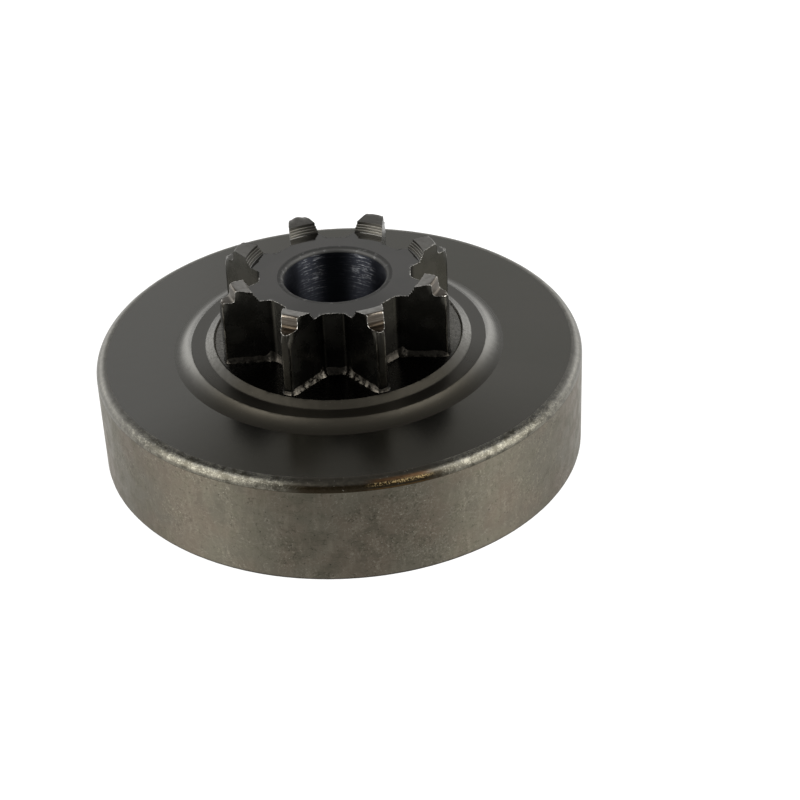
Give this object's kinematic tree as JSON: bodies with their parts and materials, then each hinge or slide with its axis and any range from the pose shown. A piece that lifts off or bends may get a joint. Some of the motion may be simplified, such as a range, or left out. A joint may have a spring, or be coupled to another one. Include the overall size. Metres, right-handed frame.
{
  "type": "chainsaw sprocket",
  "caption": "Steel chainsaw clutch drum, open side down, with a toothed spur sprocket brazed on its raised boss and a plain bearing bore through the middle.",
  "frame": {"origin": "centre of the open rim's plane, on the bore's axis", "axes": "+Z along the bore's axis, from the open rim up to the sprocket's prongs; -Y through the middle of a tooth gap; X across"},
  "size_m": [0.072, 0.072, 0.0299],
  "materials": {
    "drum_steel": "heat-darkened, semi-gloss web, turned side wall",
    "sprocket_steel": "hardened dark, turned thrust face",
    "braze_metal": "dull, lumpy filler"
  },
  "bodies": {
    "root": {"clutch_drum": "drum_steel", "spur_sprocket": "sprocket_steel", "braze_fillet": "braze_metal"}
  },
  "joints": []
}
